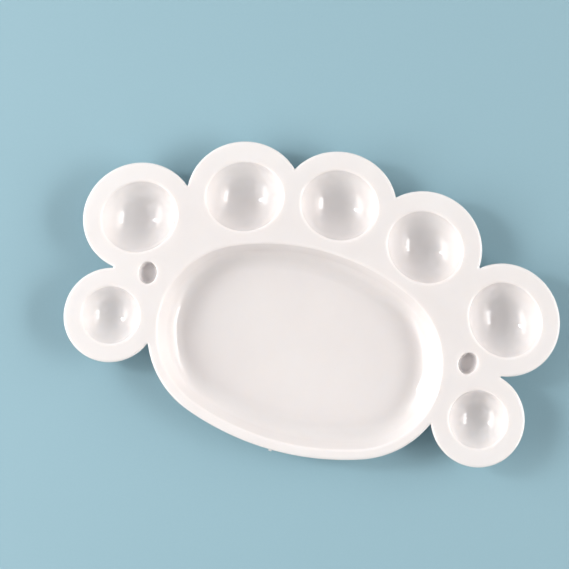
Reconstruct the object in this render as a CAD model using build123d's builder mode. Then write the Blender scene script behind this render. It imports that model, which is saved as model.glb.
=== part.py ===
"""Fan-shaped paint-mixing palette: one thin-walled glossy plastic moulding.

Seven round paint wells stand in a fan around a large oval mixing dish, and a small tapered cup is let
into the deck at each side. The palette stands on the dish's flat floor. The moulding is written out as
its named regions, which meet face to face: the dish with its rim land, each well with its share of the
deck, and each side cup.

Frame: origin on the table under the dish's widest line, +Y towards the fan of wells, +Z up.
The palette is symmetric about the YZ plane.
"""
import os
from math import asin, atan2, cos, degrees, radians, sin, tan

from build123d import *

# Driving dimensions, in millimetres and degrees.
deck_top = 17.0
deck_thickness = 1.8
lip_depth = 3.2  # the deck's edge turns down this far below the deck's top
lip_wall = 1.6
edge_radius = 1.2

dish_half_length = 70.5
dish_upper_reach = 49.0  # from the widest line to the rim, towards the wells
dish_lower_reach = 46.6
dish_upper_side_radius = 43.2
dish_lower_side_radius = 41.7
dish_land = 4.9  # flat deck between the dish's rim and the palette's outer edge
dish_floor_thickness = 1.8
dish_wall_slope = 20.0  # from the vertical
dish_foot_radius = 10.0
dish_rim_radius = 1.5

fan_centre_y = -56.9  # every well's short axis points at this point of the YZ plane
cup_wall = 1.6
cup_rim_radius = 1.2

# Each kind of well: half-length across the fan, half-width along it and depth of the bowl,
# then the half-length and half-width of its round lobe of deck.
large_bowl = (18.8, 17.0, 14.2)
small_bowl = (14.3, 14.0, 11.6)

# Wells from the middle of the fan to its right end: angle from +Y and distance from the fan's centre.
top_well = (0.0, 129.3)
inner_well = (20.75, 129.3)
outer_well = (43.6, 134.5)
end_well = (63.1, 104.5)
top_lobe = (28.3, 26.2)
inner_lobe = (28.3, 27.0)
outer_lobe = (28.0, 26.3)
end_lobe = (23.5, 22.8)

waist = (97.5, 13.4)  # crook between the last large lobe and the end lobe
side_cup_centre = (81.2, 15.3)
side_cup_mouth = (4.5, 5.5)  # half-width and half-length of the oval mouth
side_cup_depth = 6.0
side_cup_wall = 1.5
side_cup_lean = 8.0  # how far the oval mouth is turned from the Y axis
side_cup_draft = 8.0
side_cup_rim_radius = 0.6

gate_width = 1.9
gate_length = 0.9
gate_height = 1.3

# Derived levels and the region boundaries in plan.
deck_underside = deck_top - deck_thickness
lip_bottom = deck_top - lip_depth
side_cup_floor = deck_top - side_cup_depth
side_cup_bottom = side_cup_floor - side_cup_wall
first_cut = (top_well[0] + inner_well[0]) / 2
second_cut = (inner_well[0] + outer_well[0]) / 2
beyond = 200.0  # a distance that clears the whole palette
upright = (Align.CENTER, Align.CENTER, Align.MIN)


def fan_point(angle, distance):
    """Point in plan at an angle from +Y and a distance from the fan's centre."""
    return (distance * sin(radians(angle)), fan_centre_y + distance * cos(radians(angle)))


def dish_oval(grow):
    """Face inside the dish's rim, grown outwards by grow: six tangent arcs."""
    quarters = (
        (dish_upper_reach, dish_upper_side_radius, 1),
        (dish_lower_reach, dish_lower_side_radius, -1),
    )
    with BuildSketch() as oval:
        with BuildLine():
            for reach, side_radius, way in quarters:
                side_x = dish_half_length - side_radius
                end_radius = (side_x**2 + reach**2 - side_radius**2) / (2 * (reach - side_radius))
                turn = degrees(atan2(end_radius - reach, side_x))
                CenterArc((side_x, 0), side_radius + grow, 0, way * turn)
                CenterArc((0, way * (reach - end_radius)), end_radius + grow, way * turn, way * (90 - turn))
            mirror(about=Plane.YZ)
        make_face()
    return oval.sketch


def place(well):
    """Location of a well's axis in plan, turned so that its short axis points at the fan's centre."""
    x, y = fan_point(*well)
    return Location((x, y, 0), (0, 0, -well[0]))


def bowl_solid(bowl, wall):
    """Inside of a bowl, thickened by wall: a ball segment below the deck's top, stretched to an oval."""
    half_length, half_width, depth = bowl
    ball_radius = (half_width**2 + depth**2) / (2 * depth)
    centre_z = deck_top - depth + ball_radius
    radius = ball_radius + wall
    mouth_tilt = asin((centre_z - deck_top) / radius)
    with BuildPart() as solid:
        with BuildSketch(Plane.XZ):
            with BuildLine():
                CenterArc((0, centre_z), radius, -90, 90 - degrees(mouth_tilt))
                Polyline((radius * cos(mouth_tilt), deck_top), (0, deck_top), (0, centre_z - radius))
            make_face()
        revolve(axis=Axis.Z)
        scale(by=(half_length / half_width, 1, 1))
    return solid.part


def lobe_disc(lobe):
    """Round lobe of the deck, with its rounded top edge, as deep as the turned-down lip."""
    half_length, half_width = lobe
    with BuildPart() as disc:
        with BuildSketch(Plane.XZ) as profile:
            with Locations((0, lip_bottom)):
                Rectangle(half_width, lip_depth, align=(Align.MIN, Align.MIN))
            rim = profile.vertices().sort_by_distance((half_width, 0, deck_top))[0]
            fillet(rim, edge_radius)
        revolve(axis=Axis.Z)
        scale(by=(half_length / half_width, 1, 1))
    return disc.part


lobes = (
    (place(top_well), top_lobe),
    (place(inner_well), inner_lobe),
    (place(outer_well), outer_lobe),
    (place(end_well), end_lobe),
)


def web_corners(inset):
    """Corners, right half, of the flat web of deck that joins the lobes' centres to the dish."""
    crook = (waist[0] - 3 * inset, waist[1])
    centres = [fan_point(*well) for well in (top_well, inner_well, outer_well, end_well)]
    return [(0, 0), *centres[:3], crook, centres[3]]


# The deck's underside hollow: the palette's outline drawn in by the lip's wall.
with BuildPart() as under_hollow:
    with BuildSketch(Plane.XY.offset(lip_bottom - deck_thickness)):
        for location, (half_length, half_width) in lobes:
            with Locations(location):
                Ellipse(half_length - lip_wall, half_width - lip_wall)
        with BuildLine():
            Polyline(*web_corners(lip_wall), close=True)
        make_face()
        mirror(about=Plane.YZ)
        add(dish_oval(dish_land - lip_wall))
    extrude(amount=lip_depth)

# The dish's share of the deck: an oval disc with a rounded top edge.
with BuildPart() as dish_disc:
    with BuildSketch(Plane.XY.offset(lip_bottom)):
        add(dish_oval(dish_land))
    extrude(amount=lip_depth)
    fillet(dish_disc.faces().sort_by(Axis.Z)[-1].edges(), edge_radius)

# The whole deck with its turned-down lip, before the dish, wells and cups are let into it.
with BuildPart() as deck:
    for location, lobe in lobes:
        with Locations(location):
            add(lobe_disc(lobe))
    with BuildSketch(Plane.XY.offset(lip_bottom)):
        with BuildLine():
            Polyline(*web_corners(0), close=True)
        make_face()
    extrude(amount=lip_depth)
    mirror(about=Plane.YZ)
    add(dish_disc.part)
    add(under_hollow.part, mode=Mode.SUBTRACT)


# The mixing dish: a tub with drawn-in walls and a wide soft foot, hung from its land of deck.
def tub_solid(wall, floor_z):
    """Inside of the dish, thickened by wall, from the deck's top down to floor_z."""
    with BuildPart() as solid:
        with BuildSketch(Plane.XY.offset(deck_top)):
            add(dish_oval(wall / cos(radians(dish_wall_slope))))
        extrude(amount=floor_z - deck_top, taper=dish_wall_slope)
        fillet(solid.faces().sort_by(Axis.Z)[0].edges(), dish_foot_radius + wall)
    return solid.part


with BuildPart() as dish_region:
    with BuildSketch():
        add(dish_oval(dish_land))
    extrude(amount=deck_top)

with BuildPart() as mixing_dish:
    add(deck.part)
    add(dish_region.part, mode=Mode.INTERSECT)
    add(tub_solid(dish_floor_thickness, 0))
    add(tub_solid(0, dish_floor_thickness), mode=Mode.SUBTRACT)
    land = mixing_dish.faces().filter_by(Plane.XY).sort_by(Axis.Z)[-1]
    fillet(land.inner_wires()[0].edges(), dish_rim_radius)
    # Stub where the moulding was broken off its runner, at the middle of the lower edge.
    with Locations((0, -dish_lower_reach - dish_land, lip_bottom)):
        Box(gate_width, 2 * gate_length, gate_height, align=upright)
mixing_dish.part.label = "mixing_dish"


# The side cups: small tapered oval cups, closed well above the table.
def side_cup_solid(wall, floor_z):
    """Inside of the right side cup, thickened by wall, from the deck's top down to floor_z."""
    half_width, half_length = side_cup_mouth
    mouth = half_width + wall
    height = deck_top - floor_z
    spread = height * tan(radians(side_cup_draft))
    with BuildPart() as solid:
        # An oval cone longer than the cup at both ends, cut level at the floor and at the deck's top.
        with Locations((0, 0, floor_z - height)):
            Cone(mouth - 2 * spread, mouth + spread, 3 * height, align=upright)
        scale(by=(1, (half_length + wall) / mouth, 1))
        with Locations((0, 0, floor_z)):
            Box(4 * mouth, 4 * mouth, height, align=upright, mode=Mode.INTERSECT)
    return solid.part.moved(Location((*side_cup_centre, 0), (0, 0, -side_cup_lean)))


with BuildPart() as side_cup_right:
    add(side_cup_solid(side_cup_wall, side_cup_bottom))
    add(side_cup_solid(0, side_cup_floor), mode=Mode.SUBTRACT)
    cup_top = side_cup_right.faces().filter_by(Plane.XY).sort_by(Axis.Z)[-1]
    fillet(cup_top.inner_wires()[0].edges(), side_cup_rim_radius)
side_cup_right.part.label = "side_cup_right"

with BuildPart() as side_cup_left:
    mirror(side_cup_right.part, about=Plane.YZ)
side_cup_left.part.label = "side_cup_left"


# The paint wells: each a round bowl with its share of the deck, cut off along straight boundaries.
hub = fan_point(second_cut, 60)  # a point under the dish, where the end wells' boundaries meet
crook_line_end = (beyond, waist[1])
regions = {
    "top": (fan_point(0, 0), fan_point(-first_cut, beyond), fan_point(first_cut, beyond)),
    "inner": (fan_point(0, 0), fan_point(first_cut, beyond), fan_point(second_cut, beyond)),
    "outer": (hub, fan_point(second_cut, beyond), (beyond, beyond), crook_line_end, waist, side_cup_centre),
    "end": (hub, side_cup_centre, waist, crook_line_end, (beyond, -beyond), (hub[0], -beyond)),
}


def paint_well(region, well, bowl):
    """A well's bowl with the stretch of deck inside its region of the plan."""
    with BuildPart() as solid:
        add(deck.part)
        with BuildSketch():
            with BuildLine():
                Polyline(*regions[region], close=True)
            make_face()
        extrude(amount=deck_top, mode=Mode.INTERSECT)
        with Locations(place(well)):
            add(bowl_solid(bowl, cup_wall))
            add(bowl_solid(bowl, 0), mode=Mode.SUBTRACT)
        add(dish_region.part, mode=Mode.SUBTRACT)
        if region in ("outer", "end"):
            add(side_cup_solid(side_cup_wall, side_cup_bottom), mode=Mode.SUBTRACT)
        deck_face = solid.faces().filter_by(Plane.XY).sort_by(Axis.Z)[-1]
        fillet(deck_face.inner_wires()[0].edges(), cup_rim_radius)
    return solid.part


def mirrored(part):
    """The same piece on the other side of the YZ plane."""
    with BuildPart() as other:
        mirror(part, about=Plane.YZ)
    return other.part


inner_right = paint_well("inner", inner_well, large_bowl)
outer_right = paint_well("outer", outer_well, large_bowl)
end_right = paint_well("end", end_well, small_bowl)
wells_left_to_right = (
    mirrored(end_right),
    mirrored(outer_right),
    mirrored(inner_right),
    paint_well("top", top_well, large_bowl),
    inner_right,
    outer_right,
    end_right,
)

os.makedirs("parts", exist_ok=True)
for number, well in enumerate(wells_left_to_right, start=1):
    well.label = f"paint_well_{number}"
    export_step(well, f"parts/{well.label}.step")
for region in (mixing_dish.part, side_cup_left.part, side_cup_right.part):
    export_step(region, f"parts/{region.label}.step")
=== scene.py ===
"""Looks of the fan-shaped mixing palette: one seamless glossy white moulding on a pale table.

The palette's skin is built as one closed mesh from the CAD model's own sizes: rings of vertices follow
every bowl, the dish, the side cups and the turned-down edge, and two flat plates join them. The palette's
own sizes are in millimetres here and become metres when its mesh is made. Materials, camera and lights are
in metres.
"""
import math
from collections import namedtuple

import bmesh
import bpy
import numpy as np
from mathutils import Matrix, Vector
from mathutils.geometry import delaunay_2d_cdt


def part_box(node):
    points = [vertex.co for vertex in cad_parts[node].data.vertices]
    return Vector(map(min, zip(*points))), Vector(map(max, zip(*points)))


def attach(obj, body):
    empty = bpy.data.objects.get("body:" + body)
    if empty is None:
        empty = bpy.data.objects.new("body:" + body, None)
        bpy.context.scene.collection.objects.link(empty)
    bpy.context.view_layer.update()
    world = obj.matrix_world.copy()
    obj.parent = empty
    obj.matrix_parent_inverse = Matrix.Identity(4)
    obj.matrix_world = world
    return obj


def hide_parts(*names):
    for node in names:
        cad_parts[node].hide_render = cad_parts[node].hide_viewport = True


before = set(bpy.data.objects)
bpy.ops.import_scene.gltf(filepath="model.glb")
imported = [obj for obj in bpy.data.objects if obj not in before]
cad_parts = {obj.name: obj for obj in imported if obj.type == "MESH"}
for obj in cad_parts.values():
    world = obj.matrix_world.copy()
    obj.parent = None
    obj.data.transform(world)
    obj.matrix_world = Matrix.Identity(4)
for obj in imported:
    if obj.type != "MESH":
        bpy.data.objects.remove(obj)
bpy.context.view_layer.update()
MM = 0.001

Bowl = namedtuple("Bowl", "half_length half_width depth")  # its length lies across the fan's radius
Well = namedtuple("Well", "angle distance bowl lobe")  # lobe: half-length and half-width of its round deck

# ---- sizes, as in the CAD model ------------------------------------------------------------------
DECK_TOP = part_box("mixing_dish")[1].z / MM
DECK_THICKNESS = 1.8
LIP_DEPTH = 3.2
LIP_WALL = 1.6
EDGE_RADIUS = 1.2

DISH_HALF_LENGTH = 70.5
DISH_UPPER = (49.0, 43.2)  # reach from the widest line to the rim, and radius of the side arc
DISH_LOWER = (46.6, 41.7)
DISH_LAND = 4.9
DISH_WALL = 1.8
DISH_SLOPE = 20.0
DISH_RIM_RADIUS = 1.5
DISH_FOOT_RADIUS = 10.0

FAN_CENTRE = np.array((0.0, -56.9))
CUP_WALL = 1.6
CUP_RIM_RADIUS = 1.2
LARGE_BOWL = Bowl(18.8, 17.0, 14.2)
SMALL_BOWL = Bowl(14.3, 14.0, 11.6)

SIDE_CUP_MOUTH = (4.5, 5.5)  # half-width and half-length
SIDE_CUP_CENTRE = (81.2, 15.3)
SIDE_CUP_DEPTH = 6.0
SIDE_CUP_WALL = 1.5
SIDE_CUP_TURN = 8.0
SIDE_CUP_DRAFT = 8.0
SIDE_CUP_RIM_RADIUS = 0.6
SIDE_CUP_FOOT_RADIUS = 1.2

CROOK_RADIUS = 0.4  # rounding at the bottom of the crooks between the lobes
UNDER_BLEND = 0.6  # rounding where bowls, dish and side cups meet the deck's underside
CORNER_RADIUS = 0.3  # rounding of the lip's bottom corners
SUPPORT = 0.35  # width of the flat ring kept round every rounded edge

GATE_WIDTH = 1.9
GATE_LENGTH = 0.88  # how far the stub stands out, and also how far it reaches back into the lip
GATE_HEIGHT = 1.3
GATE_ROUNDING = 0.18
GATE_TAPER = (0.8, 0.75)  # how much of its width and height is left at the torn end

UNDERSIDE = DECK_TOP - DECK_THICKNESS
LIP_BOTTOM = DECK_TOP - LIP_DEPTH

# The top well and those to its right, which are mirrored to its left. Angles are degrees from +Y, clockwise,
# and distances are from the fan's centre.
TOP_WELL = Well(0.0, 129.3, LARGE_BOWL, (28.3, 26.2))
INNER_WELL = Well(20.75, 129.3, LARGE_BOWL, (28.3, 27.0))
OUTER_WELL = Well(43.6, 134.5, LARGE_BOWL, (28.0, 26.3))
END_WELL = Well(63.1, 104.5, SMALL_BOWL, (23.5, 22.8))
RIGHT_WELLS = (INNER_WELL, OUTER_WELL, END_WELL)

# ---- fineness of the mesh: points in a ring, and steps in the arcs of a profile --------------------
OUTLINE_SPACING = 1.1
BOWL_POINTS = 112
DISH_POINTS = 240
SIDE_CUP_POINTS = 48
CROOK_STEPS = 7
RIM_STEPS = 6
BOWL_STEPS = 26
DISH_FOOT_STEPS = 14
SIDE_CUP_FOOT_STEPS = 6
EDGE_STEPS = 7
LIP_CORNER_STEPS = 3
LIP_ROOT_STEPS = 4


# ---- plan curves ---------------------------------------------------------------------------------
# A convex curve is a function that takes the directions of its outward normal, in radians, and gives
# its points there, so that growing a curve only moves each point along its normal.
def normals(angles):
    return np.stack((np.cos(angles), np.sin(angles)), axis=-1)


def ellipse_curve(centre, long_axis, half_length, half_width):
    """Ellipse with its half-length along long_axis."""
    short_axis = np.array((-long_axis[1], long_axis[0]))

    def points(angles):
        n = normals(angles)
        along, across = n @ long_axis, n @ short_axis
        reach = np.sqrt((half_length * along) ** 2 + (half_width * across) ** 2)[..., None]
        return (
            centre
            + (half_length**2 * along)[..., None] / reach * long_axis
            + (half_width**2 * across)[..., None] / reach * short_axis
        )

    return points


def dish_curve(grow):
    """The dish's rim, made of six arcs, grown outwards. A side arc's centre is on the X axis, and the end
    arc that is tangent to it and passes through the reach has its centre on the Y axis."""

    def points(angles):
        n = normals(angles)
        result = np.empty_like(n)
        for i, (x, y) in enumerate(n):
            reach, side_radius = DISH_UPPER if y >= 0 else DISH_LOWER
            side_x = DISH_HALF_LENGTH - side_radius
            end_radius = (side_x**2 + reach**2 - side_radius**2) / (2 * (reach - side_radius))
            turn = math.atan2(end_radius - reach, side_x)
            if math.atan2(abs(y), abs(x)) < turn:
                centre, radius = (math.copysign(side_x, x), 0.0), side_radius
            else:
                centre, radius = (0.0, math.copysign(1.0, y) * (reach - end_radius)), end_radius
            result[i] = np.array(centre) + (radius + grow) * n[i]
        return result

    return points


def well_frame(well):
    """Centre and long axis, in plan, of a well."""
    angle = math.radians(well.angle)
    outward = np.array((math.sin(angle), math.cos(angle)))
    return FAN_CENTRE + well.distance * outward, np.array((outward[1], -outward[0]))


def lobe_curve(well):
    centre, long_axis = well_frame(well)
    return ellipse_curve(centre, long_axis, *well.lobe)


# ---- the palette's outline -----------------------------------------------------------------------
def crook_between(first, second):
    """The circle that rounds the crook where the outline passes from one curve to the next.

    Gives its centre and the two directions of normal at which it leaves the curves. Going round the
    palette anticlockwise, the crook lies to the right of the line between the curves' middles.
    """
    angles = np.radians(np.arange(0, 360, 0.5))
    ways = normals(angles)
    middles = [curve(angles).mean(axis=0) for curve in (first, second)]
    right = np.array((middles[1][1] - middles[0][1], middles[0][0] - middles[1][0]))
    outside = angles[ways @ right > 0]
    tracks = [curve(outside) + CROOK_RADIUS * normals(outside) for curve in (first, second)]
    gaps = np.linalg.norm(tracks[0][:, None] - tracks[1][None], axis=2)
    a, b = np.unravel_index(gaps.argmin(), gaps.shape)
    guess = np.array((outside[a], outside[b]))

    def miss(pair):
        pair = pair[:, None]
        return (
            first(pair[0])[0]
            + CROOK_RADIUS * normals(pair[0])[0]
            - second(pair[1])[0]
            - CROOK_RADIUS * normals(pair[1])[0]
        )

    # Newton's method, with slopes taken over a small step.
    step = 1e-5
    for _ in range(8):
        here = miss(guess)
        slope = np.stack([(miss(guess + step * axis) - here) / step for axis in np.eye(2)], axis=1)
        guess = guess - np.linalg.solve(slope, here)
    centre = first(guess[:1])[0] + CROOK_RADIUS * normals(guess[:1])[0]
    return centre, guess[0], guess[1]


def outline():
    """Points and outward normals of the palette's outer edge, anticlockwise from the bottom middle."""
    curves = [dish_curve(DISH_LAND)] + [lobe_curve(well) for well in (*reversed(RIGHT_WELLS), TOP_WELL)]
    crooks = [crook_between(a, b) for a, b in zip(curves, curves[1:])]
    leaves = [crook[1] for crook in crooks] + [math.pi / 2]
    enters = [-math.pi / 2] + [crook[2] for crook in crooks]
    points, ways = [], []
    for i, curve in enumerate(curves):
        start = math.remainder(enters[i], math.tau)
        sweep = (leaves[i] - start) % math.tau
        coarse = curve(start + sweep * np.linspace(0, 1, 60))
        length = np.linalg.norm(np.diff(coarse, axis=0), axis=1).sum()
        steps = max(2, round(length / OUTLINE_SPACING))
        angles = start + sweep * np.linspace(0, 1, steps + 1)
        points.append(curve(angles))
        ways.append(normals(angles))
        if i < len(crooks):
            centre, leave, enter = crooks[i]
            back = (leave - enter) % math.tau
            angles = leave - back * np.linspace(0, 1, CROOK_STEPS + 1)[1:-1]
            points.append(centre - CROOK_RADIUS * normals(angles))
            ways.append(normals(angles))
    points, ways = np.concatenate(points), np.concatenate(ways)
    flip = np.array((-1.0, 1.0))
    left_points, left_ways = (points * flip)[-2:0:-1], (ways * flip)[-2:0:-1]
    return np.concatenate((points, left_points)), np.concatenate((ways, left_ways))


# ---- profiles: lists of (distance outwards, height) ----------------------------------------------
def arc(centre, radius, start, end, steps):
    angles = np.radians(np.linspace(start, end, steps + 1))
    return [(centre[0] + radius * math.cos(a), centre[1] + radius * math.sin(a)) for a in angles]


def bowl_profile(level, bowl, wall, blend):
    """From the flat deck at level, round its blend and down a ball segment to 1 degree short of the pole."""
    ball = (bowl.half_width**2 + bowl.depth**2) / (2 * bowl.depth)
    ball_z = DECK_TOP - bowl.depth + ball
    radius = ball + wall
    blend_z = level - blend
    blend_x = math.sqrt((radius + blend) ** 2 - (ball_z - blend_z) ** 2)
    rise = math.degrees(math.atan2(ball_z - blend_z, blend_x))
    profile = [(blend_x + SUPPORT, level)] + arc((blend_x, blend_z), blend, 90, 180 - rise, RIM_STEPS)
    return profile + arc((0, ball_z), radius, -rise, -89, BOWL_STEPS)[1:]


def tub_profile(level, floor, wall, slope, blend, foot, steps):
    """From the flat deck at level, round its blend, down a wall drawn in by slope, round the foot to the
    flat floor. Distances are from the line where the bare inside wall would meet the deck's top."""
    lean = math.radians(slope)

    def beside_wall(z, gap):
        return (gap + (z - DECK_TOP) * math.sin(lean)) / math.cos(lean)

    top = (beside_wall(level - blend, wall + blend), level - blend)
    bottom = (beside_wall(floor + foot, wall - foot), floor + foot)
    profile = [(top[0] + SUPPORT, level)] + arc(top, blend, 90, 180 - slope, RIM_STEPS)
    profile += arc(bottom, foot, -slope, -90, steps)
    return profile + [(bottom[0] - SUPPORT, floor)]


def edge_profile():
    """From the deck's top, over the rounded edge, round the lip and up to the deck's underside."""
    corner, root = CORNER_RADIUS, -LIP_WALL - UNDER_BLEND
    profile = [(-EDGE_RADIUS - SUPPORT, DECK_TOP)]
    profile += arc((-EDGE_RADIUS, DECK_TOP - EDGE_RADIUS), EDGE_RADIUS, 90, 0, EDGE_STEPS)
    profile += arc((-corner, LIP_BOTTOM + corner), corner, 0, -90, LIP_CORNER_STEPS)
    profile += arc((corner - LIP_WALL, LIP_BOTTOM + corner), corner, -90, -180, LIP_CORNER_STEPS)
    profile += arc((root, UNDERSIDE - UNDER_BLEND), UNDER_BLEND, 0, 90, LIP_ROOT_STEPS)
    return profile + [(root - SUPPORT, UNDERSIDE)]


# ---- the skin ------------------------------------------------------------------------------------
class Skin:
    """Closed rings of vertices bridged into quads, and flat plates that join them."""

    def __init__(self):
        self.vertices = []
        self.faces = []

    def ring(self, plan, height):
        start = len(self.vertices)
        self.vertices += [(x, y, height) for x, y in plan]
        return list(range(start, len(self.vertices)))

    def bridge(self, first, second):
        count = len(first)
        for i in range(count):
            j = (i + 1) % count
            self.faces.append((first[i], first[j], second[j], second[i]))

    def sweep(self, plan_at, profile):
        """Rings at every point of a profile, bridged in order. Gives the first and the last ring."""
        rings = [self.ring(plan_at(distance), height) for distance, height in profile]
        for first, second in zip(rings, rings[1:]):
            self.bridge(first, second)
        return rings[0], rings[-1]

    def plate(self, outer, holes=()):
        """Flat triangulated face inside the outer ring and outside the convex holes."""
        rings = [outer, *holes]
        loop = [v for ring in rings for v in ring]
        owner = [number for number, ring in enumerate(rings) for _ in ring]
        edges, start = [], 0
        for ring in rings:
            edges += [(start + i, start + (i + 1) % len(ring)) for i in range(len(ring))]
            start += len(ring)
        plan = [Vector(self.vertices[v][:2]) for v in loop]
        triangles = delaunay_2d_cdt(plan, edges, [], 1, 1e-7)[2]
        for triangle in triangles:
            owners = {owner[v] for v in triangle}
            if len(owners) > 1 or owners == {0}:
                self.faces.append(tuple(loop[v] for v in triangle))

    def build(self, name):
        mesh = bpy.data.meshes.new(name)
        mesh.from_pydata([Vector(v) * MM for v in self.vertices], [], self.faces)
        shape = bmesh.new()
        shape.from_mesh(mesh)
        bmesh.ops.recalc_face_normals(shape, faces=shape.faces)
        shape.to_mesh(mesh)
        shape.free()
        mesh.shade_smooth()
        piece = bpy.data.objects.new(name, mesh)
        bpy.context.scene.collection.objects.link(piece)
        return piece


def round_angles(count):
    return np.linspace(0, math.tau, count, endpoint=False)


def dish_plan(distance):
    """Points of a ring, for Skin.sweep, at a distance outwards from the dish's rim."""
    return dish_curve(distance)(round_angles(DISH_POINTS))


def bowl_plan(well):
    """A function like dish_plan for a well's bowl, whose distance is from the middle of the bowl."""
    centre, long_axis = well_frame(well)
    stretch = well.bowl.half_length / well.bowl.half_width
    angles = round_angles(BOWL_POINTS)
    short_axis = np.array((-long_axis[1], long_axis[0]))
    circle = np.outer(np.cos(angles) * stretch, long_axis) + np.outer(np.sin(angles), short_axis)
    return lambda distance: centre + distance * circle


def side_cup_plan(side, wall):
    """A function like dish_plan for the inside (wall 0) or the outside of a side cup."""
    half_width, half_length = (half + wall for half in SIDE_CUP_MOUTH)
    turn = math.radians(SIDE_CUP_TURN)
    long_axis = np.array((side * math.sin(turn), math.cos(turn)))
    short_axis = np.array((math.cos(turn), -side * math.sin(turn)))
    angles = round_angles(SIDE_CUP_POINTS)
    circle = np.outer(np.cos(angles) * half_length / half_width, long_axis)
    circle += np.outer(np.sin(angles), short_axis)
    centre = np.array((side * SIDE_CUP_CENTRE[0], SIDE_CUP_CENTRE[1]))
    return lambda distance: centre + (SIDE_CUP_MOUTH[0] + distance) * circle


def mirrored(well):
    return well._replace(angle=-well.angle)


def make_skin():
    """The whole moulding as one closed surface."""
    skin = Skin()
    wells = [mirrored(w) for w in reversed(RIGHT_WELLS)] + [TOP_WELL, *RIGHT_WELLS]
    edge_points, edge_ways = outline()
    top_outer, under_outer = skin.sweep(lambda grow: edge_points + grow * edge_ways, edge_profile())
    top_holes, under_holes = [], []
    for level, wall, blend, holes in (
        (DECK_TOP, 0.0, CUP_RIM_RADIUS, top_holes),
        (UNDERSIDE, CUP_WALL, UNDER_BLEND, under_holes),
    ):
        for well in wells:
            mouth, pole = skin.sweep(bowl_plan(well), bowl_profile(level, well.bowl, wall, blend))
            holes.append(mouth)
            skin.plate(pole)
    under_foot = DISH_FOOT_RADIUS + DISH_WALL
    for level, bottom, wall, blend, foot, holes in (
        (DECK_TOP, DISH_WALL, 0.0, DISH_RIM_RADIUS, DISH_FOOT_RADIUS, top_holes),
        (UNDERSIDE, 0.0, DISH_WALL, UNDER_BLEND, under_foot, under_holes),
    ):
        profile = tub_profile(level, bottom, wall, DISH_SLOPE, blend, foot, DISH_FOOT_STEPS)
        mouth, floor = skin.sweep(dish_plan, profile)
        holes.append(mouth)
        skin.plate(floor)
    floor_z = DECK_TOP - SIDE_CUP_DEPTH
    foot = SIDE_CUP_FOOT_RADIUS
    for side in (-1, 1):
        for level, bottom, wall, blend, holes in (
            (DECK_TOP, floor_z, 0.0, SIDE_CUP_RIM_RADIUS, top_holes),
            (UNDERSIDE, floor_z - SIDE_CUP_WALL, SIDE_CUP_WALL, UNDER_BLEND, under_holes),
        ):
            profile = tub_profile(level, bottom, wall, SIDE_CUP_DRAFT, blend, foot, SIDE_CUP_FOOT_STEPS)
            mouth, floor = skin.sweep(side_cup_plan(side, wall), profile)
            holes.append(mouth)
            skin.plate(floor)
    skin.plate(top_outer, top_holes)
    skin.plate(under_outer, under_holes)
    return skin.build("palette_moulding")


def make_gate_stub():
    """Torn stub of the moulding's runner, standing out from the middle of the lower edge."""
    shape = bmesh.new()
    bmesh.ops.create_cube(shape, size=1.0)
    for vertex in shape.verts:
        torn_end = vertex.co.y < 0
        narrowing, lowering = GATE_TAPER if torn_end else (1.0, 1.0)
        vertex.co.x *= GATE_WIDTH * narrowing
        vertex.co.y = -GATE_LENGTH if torn_end else GATE_LENGTH
        vertex.co.z = (vertex.co.z + 0.5) * GATE_HEIGHT * lowering
    edges = [e for e in shape.edges if min(v.co.y for v in e.verts) < 0]
    bmesh.ops.bevel(shape, geom=edges, offset=GATE_ROUNDING, segments=3, profile=0.5, affect="EDGES")
    edge_y = -DISH_LOWER[0] - DISH_LAND
    bmesh.ops.transform(shape, matrix=Matrix.Translation((0, edge_y, LIP_BOTTOM)), verts=shape.verts)
    bmesh.ops.scale(shape, vec=(MM, MM, MM), verts=shape.verts)
    mesh = bpy.data.meshes.new("gate_stub")
    shape.to_mesh(mesh)
    shape.free()
    mesh.shade_smooth()
    piece = bpy.data.objects.new("gate_stub", mesh)
    bpy.context.scene.collection.objects.link(piece)
    return piece


# ---- shading -------------------------------------------------------------------------------------
class Nodes:
    """Short ways to add shader nodes to a tree."""

    def __init__(self, tree):
        self.tree = tree

    def node(self, kind, inputs=None, **settings):
        """New node; an input is a constant or another node's output."""
        node = self.tree.nodes.new(kind)
        for key, value in settings.items():
            setattr(node, key, value)
        for key, value in (inputs or {}).items():
            if isinstance(value, bpy.types.NodeSocket):
                self.tree.links.new(value, node.inputs[key])
            else:
                node.inputs[key].default_value = value
        return node

    def noise(self, place, scale, detail, stretch=(1, 1, 1)):
        place = self.node("ShaderNodeMapping", {"Vector": place, "Scale": stretch}).outputs[0]
        inputs = {"Vector": place, "Scale": scale, "Detail": detail}
        return self.node("ShaderNodeTexNoise", inputs).outputs["Fac"]

    def remap(self, value, low, high, to_low, to_high, smooth=False):
        inputs = {"Value": value, "From Min": low, "From Max": high, "To Min": to_low, "To Max": to_high}
        kind = "SMOOTHSTEP" if smooth else "LINEAR"
        return self.node("ShaderNodeMapRange", inputs, interpolation_type=kind).outputs[0]

    def math(self, operation, first, second):
        return self.node("ShaderNodeMath", {0: first, 1: second}, operation=operation).outputs[0]

    def mix(self, factor, first, second):
        """Colour between two colours; each is a constant or an output."""
        colour_inputs = {0: factor, 6: first, 7: second}
        return self.node("ShaderNodeMix", colour_inputs, data_type="RGBA").outputs[2]

    def bump(self, height, distance, strength, below=None):
        inputs = {"Height": height, "Distance": distance, "Strength": strength}
        if below is not None:
            inputs["Normal"] = below
        return self.node("ShaderNodeBump", inputs).outputs[0]


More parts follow.
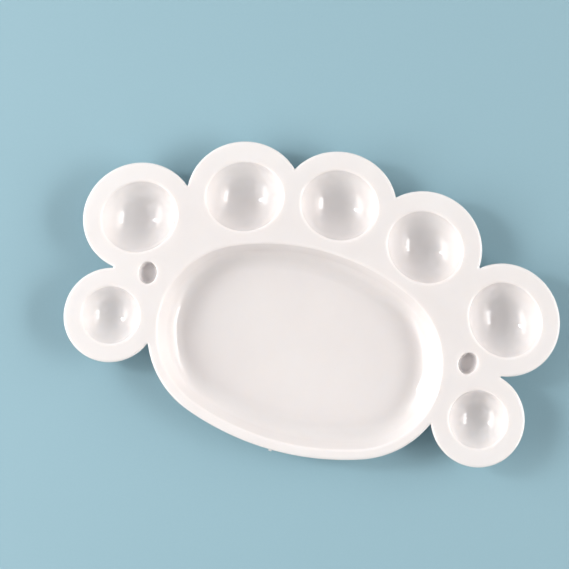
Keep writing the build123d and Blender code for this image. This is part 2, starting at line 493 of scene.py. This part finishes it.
class Surface(Nodes):
    """A new material with one Principled shader."""

    def __init__(self, name):
        self.material = bpy.data.materials.new(name)
        self.material.use_nodes = True
        super().__init__(self.material.node_tree)
        self.shader = self.tree.nodes["Principled BSDF"]
        self.place = self.node("ShaderNodeTexCoord").outputs["Object"]

    def set(self, **sockets):
        """Set the shader's sockets, named with _ for a space, to constants or outputs."""
        for name, value in sockets.items():
            socket = self.shader.inputs[name.replace("_", " ")]
            if isinstance(value, bpy.types.NodeSocket):
                self.tree.links.new(value, socket)
            else:
                socket.default_value = value


def moulded_plastic():
    """Glossy white plastic: soft moulding ripple, faint cloudiness, smears and hairline scratches."""
    darkest, palest = (0.87, 0.82, 0.81, 1), (0.89, 0.84, 0.83, 1)
    cleanest, most_smeared = 0.02, 0.05  # roughness
    ripple_height, scratch_depth = 0.00022, 0.000012
    scratch_scale = (30, 2600, 30)  # fine across the lines, stretched along them
    plastic = Surface("moulded_plastic")
    cloud = plastic.remap(plastic.noise(plastic.place, 28.0, 3.0), 0.35, 0.65, 0.0, 1.0)
    smears = plastic.noise(plastic.place, 60.0, 4.0, stretch=(1.0, 0.45, 1.0))
    ripple = plastic.bump(plastic.noise(plastic.place, 90.0, 1.0), ripple_height, 0.05)
    scratches = None
    for turn, shift in ((0.5, 0.0), (-0.9, 3.7), (1.9, 7.3)):
        rotated = plastic.node(
            "ShaderNodeMapping",
            {
                "Vector": plastic.place,
                "Rotation": (0, 0, turn),
                "Location": (shift, shift, 0),
                "Scale": scratch_scale,
            },
        ).outputs[0]
        lines = plastic.remap(plastic.noise(rotated, 1.0, 0.0), 0.74, 0.8, 0.0, 1.0)
        scratches = lines if scratches is None else plastic.math("MAXIMUM", scratches, lines)
    plastic.set(
        Base_Color=plastic.mix(cloud, darkest, palest),
        Roughness=plastic.remap(smears, 0.35, 0.7, cleanest, most_smeared),
        Normal=plastic.bump(scratches, scratch_depth, 0.1, below=ripple),
        IOR=1.59,
        Subsurface_Weight=1.0,
        Subsurface_Radius=(1.0, 0.95, 0.9),
        Subsurface_Scale=0.003,
    )
    return plastic.material


def pale_card():
    """Plain pale blue card with a fine grain."""
    darkest, palest = (0.28, 0.46, 0.54, 1), (0.30, 0.48, 0.56, 1)
    card = Surface("pale_card")
    grain = card.noise(card.place, 900.0, 3.0)
    card.set(Base_Color=card.mix(grain, darkest, palest), Roughness=0.6)
    return card.material


# ---- camera and light ----------------------------------------------------------------------------
TURN = math.radians(15.79)  # how far the picture's right is turned from +X
PICTURE_RIGHT = Vector((math.cos(TURN), math.sin(TURN), 0))
PICTURE_UP = Vector((-math.sin(TURN), math.cos(TURN), 0))
SENSOR_WIDTH = 36.0  # millimetres, as is the lens

# Bearing from the picture's right and elevation, in degrees; distance and size, in metres; and watts.
SOFTBOXES = {
    "left_softbox": (163, 39, 1.5, (0.18, 0.42), 5),
    "right_softbox": (-3, 39, 1.5, (0.9, 0.3), 6),
    "left_panel": (180, 42, 0.6, (0.8, 0.35), 0.95),
}


def make_camera():
    """Camera almost straight above the palette, as in a flat-lay picture."""
    distance, view_width = 0.8, 0.2777
    lean = 0.0288  # sine of its tilt from straight above towards +X
    target = Vector((-0.01515, 0.02798, DECK_TOP * MM))
    back = Vector((lean, 0, math.sqrt(1 - lean**2)))
    up = (PICTURE_UP - PICTURE_UP.dot(back) * back).normalized()
    turn = Matrix((up.cross(back), up, back)).transposed().to_4x4()
    camera = bpy.data.objects.new("camera", bpy.data.cameras.new("camera"))
    camera.matrix_world = Matrix.Translation(target + distance * back) @ turn
    camera.data.sensor_width = SENSOR_WIDTH
    camera.data.lens = SENSOR_WIDTH * distance / view_width
    bpy.context.scene.collection.objects.link(camera)
    bpy.context.scene.camera = camera


def make_softbox(name, bearing, elevation, distance, size, power):
    """Rectangular white softbox that faces the palette, lights it and shows in its gloss."""
    bearing, elevation = math.radians(bearing), math.radians(elevation)
    level = PICTURE_RIGHT * math.cos(bearing) + PICTURE_UP * math.sin(bearing)
    toward = level * math.cos(elevation) + Vector((0, 0, math.sin(elevation)))
    light = bpy.data.lights.new(name, "AREA")
    light.shape = "RECTANGLE"
    light.size, light.size_y = size
    light.energy = power
    lamp = bpy.data.objects.new(name, light)
    lamp.location = toward * distance
    lamp.visible_camera = False
    lamp.rotation_euler = toward.to_track_quat("Z", "Y").to_euler()
    bpy.context.scene.collection.objects.link(lamp)


def make_room(left=4.7, right=3.9, behind=0.3, ceiling=0.14):
    """Soft studio round the table: a bright warm wall on either side of the picture, dimmer towards the
    horizon, a little cool light from beyond the picture's top, and a dim cool ceiling.

    The arguments are strengths. A direction's share of a light grows from none to full between two
    cosines of its angle to the light's middle.
    """
    wall_cosines, behind_cosines = (0.66, 0.86), (0.1, 0.9)
    horizon_share = 0.2  # what the walls keep of their strength at the horizon
    full_height = 0.35  # height, as a sine, from which they have all of it
    cool, warm = (0.96, 0.97, 1, 1), (1, 0.94, 0.89, 1)
    world = bpy.data.worlds.new("soft_room")
    world.use_nodes = True
    room = Nodes(world.node_tree)
    direction = room.node("ShaderNodeTexCoord").outputs["Generated"]

    def toward(axis, cosines, strength):
        along = room.node("ShaderNodeVectorMath", {0: direction, 1: axis}, operation="DOT_PRODUCT")
        return room.remap(along.outputs["Value"], *cosines, 0.0, strength, smooth=True)

    walls = room.math(
        "ADD", toward(PICTURE_RIGHT, wall_cosines, right), toward(-PICTURE_RIGHT, wall_cosines, left)
    )
    height = room.node("ShaderNodeSeparateXYZ", {"Vector": direction}).outputs["Z"]
    share = room.remap(height, 0.0, full_height, horizon_share, 1.0, smooth=True)
    walls = room.math("MULTIPLY", walls, share)
    rest = room.math("ADD", toward(PICTURE_UP, behind_cosines, behind), ceiling)
    background = world.node_tree.nodes["Background"]
    world.node_tree.links.new(room.mix(walls, cool, warm), background.inputs["Color"])
    world.node_tree.links.new(room.math("ADD", walls, rest), background.inputs["Strength"])
    bpy.context.scene.world = world


def make_table():
    """Wide flat table top at the height that the palette stands on."""
    half = 2.5
    corners = [(-half, -half, 0), (half, -half, 0), (half, half, 0), (-half, half, 0)]
    mesh = bpy.data.meshes.new("table_top")
    mesh.from_pydata(corners, [], [(0, 1, 2, 3)])
    mesh.materials.append(pale_card())
    table = bpy.data.objects.new("table_top", mesh)
    bpy.context.scene.collection.objects.link(table)


make_camera()
plastic = moulded_plastic()
skin = make_skin()
skin.modifiers.new("even_normals", "WEIGHTED_NORMAL").weight = 100
stub = make_gate_stub()
for piece in (skin, stub):
    piece.data.materials.append(plastic)
    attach(piece, "root")
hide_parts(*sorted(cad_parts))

make_table()
for name, settings in SOFTBOXES.items():
    make_softbox(name, *settings)
make_room()
bpy.context.scene.view_settings.view_transform = "Standard"
